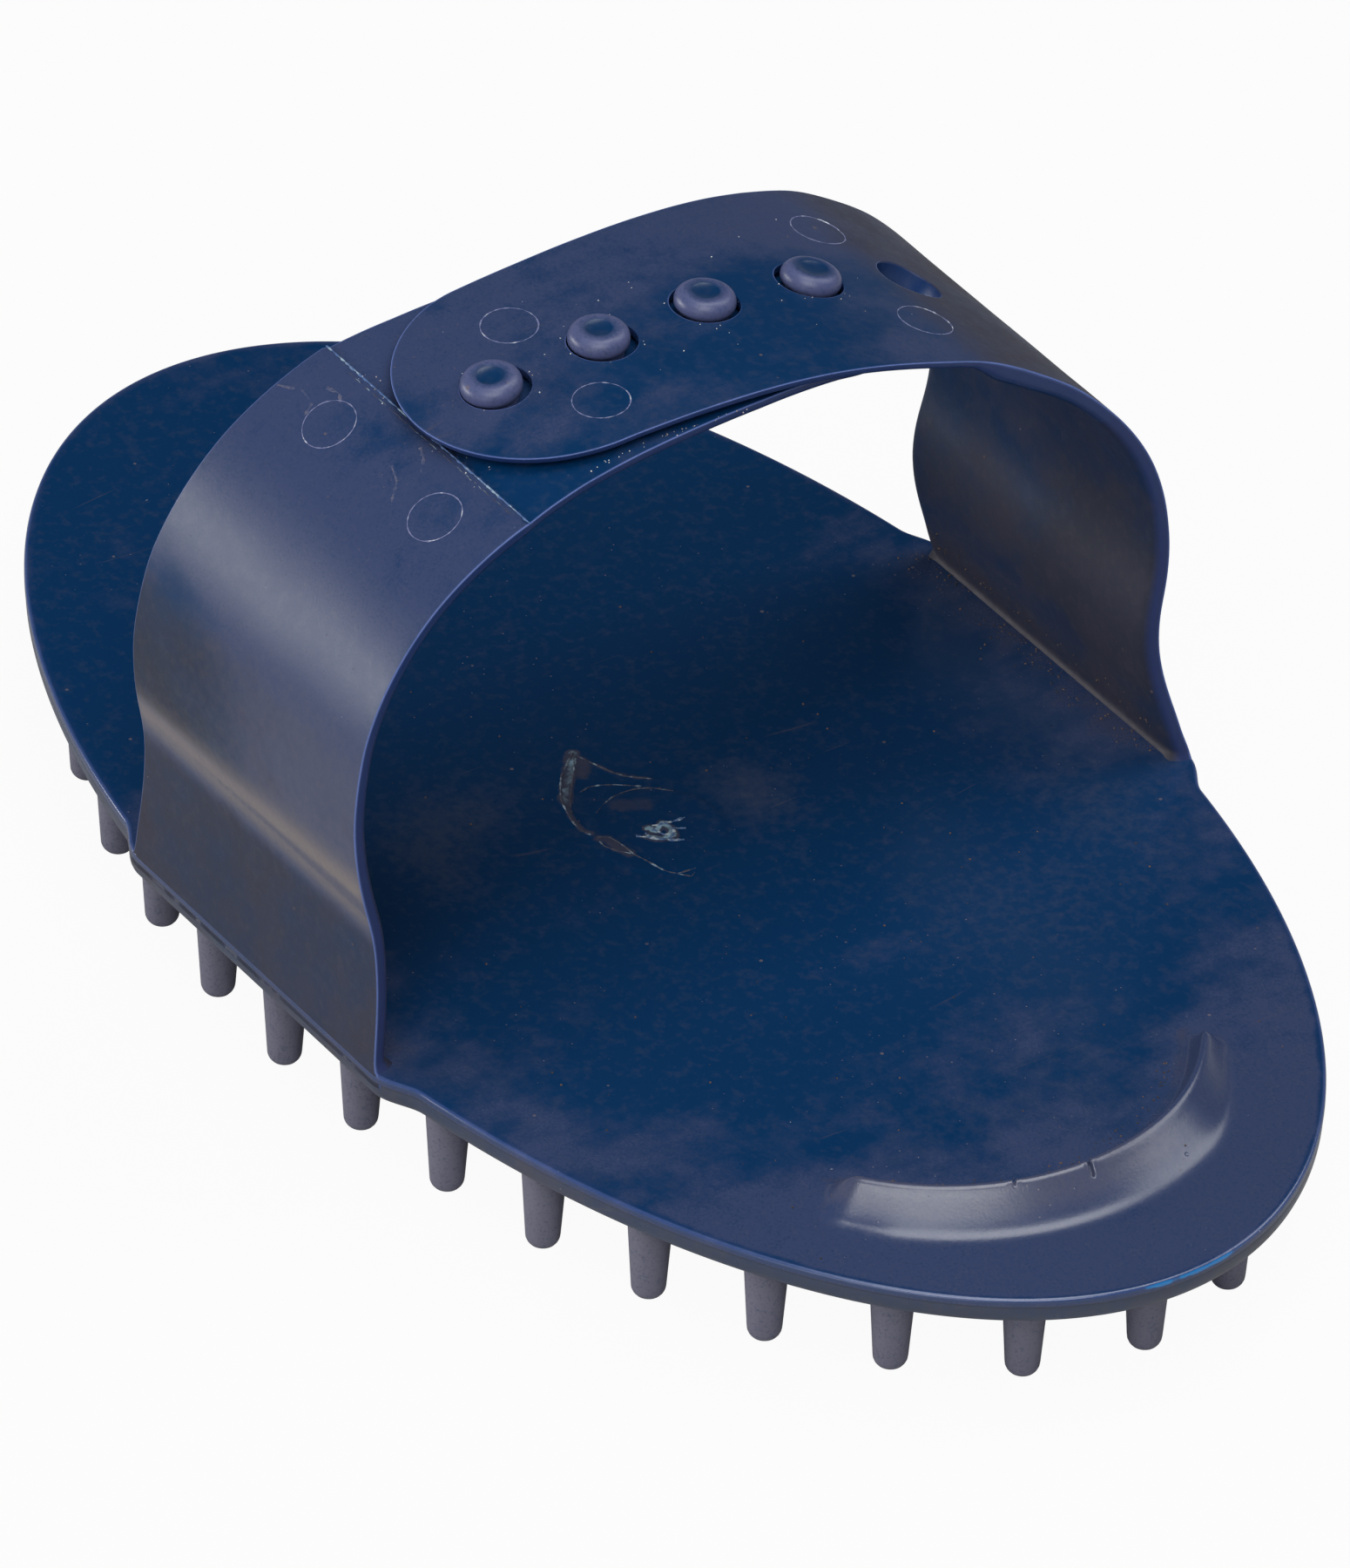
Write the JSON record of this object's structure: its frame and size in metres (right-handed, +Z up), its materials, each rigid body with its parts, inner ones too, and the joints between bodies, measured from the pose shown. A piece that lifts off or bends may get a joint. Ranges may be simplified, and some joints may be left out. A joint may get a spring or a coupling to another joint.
{
  "type": "curry brush",
  "caption": "Soft oval curry brush for grooming, with rounded pins underneath and an adjustable hand strap on top that buttons over studs.",
  "frame": {"origin": "tip of the centre pin, on the plane that the pin tips stand on", "axes": "+X along the oval towards the finger ridge, +Y across it towards the strap with holes, +Z up"},
  "size_m": [0.18, 0.0997, 0.0756],
  "materials": {
    "pad_pvc": "satin",
    "pin_pvc": "satin",
    "strap_pvc": "satin",
    "stud_pvc": "satin"
  },
  "bodies": {
    "pad_body": {"pad_plate": "pad_pvc", "finger_ridge": "pad_pvc", "gate_mark": "pad_pvc", "pins_outer_ring": "pin_pvc", "pins_second_ring": "pin_pvc", "pins_third_ring": "pin_pvc", "pins_fourth_ring": "pin_pvc", "pins_centre_row": "pin_pvc", "stud_strap_foot": "strap_pvc", "hole_strap_foot": "strap_pvc"},
    "stud_strap": {"stud_strap_arm": "strap_pvc", "stud_platform": "strap_pvc", "stud_1": "stud_pvc", "stud_2": "stud_pvc", "stud_3": "stud_pvc", "stud_4": "stud_pvc"},
    "hole_strap": {"hole_strap_arm": "strap_pvc"},
    "tongue_flap": {"tongue": "strap_pvc"}
  },
  "joints": [
    {"name": "hole_strap_swing", "type": "hinge", "parent": "pad_body", "child": "hole_strap", "pos_m": [0, 0.04468, 0.02801], "axis": [-1, 0, 0], "range_deg": [0, 80], "deforming": ["stud_1", "stud_2", "stud_3", "stud_4"]},
    {"name": "stud_strap_swing", "type": "hinge", "parent": "pad_body", "child": "stud_strap", "pos_m": [0, -0.04729, 0.02646], "axis": [1, 0, 0], "range_deg": [0, 56]},
    {"name": "tongue_peel", "type": "hinge", "parent": "hole_strap", "child": "tongue_flap", "pos_m": [0, 0.03573, 0.06093], "axis": [-1, 0, 0], "range_deg": [0, 70], "deforming": ["stud_1", "stud_2", "stud_3", "stud_4"]}
  ],
  "couplings": [
    {"joint": "stud_strap_swing", "follows": "hole_strap_swing", "ratio": 0.7}
  ]
}
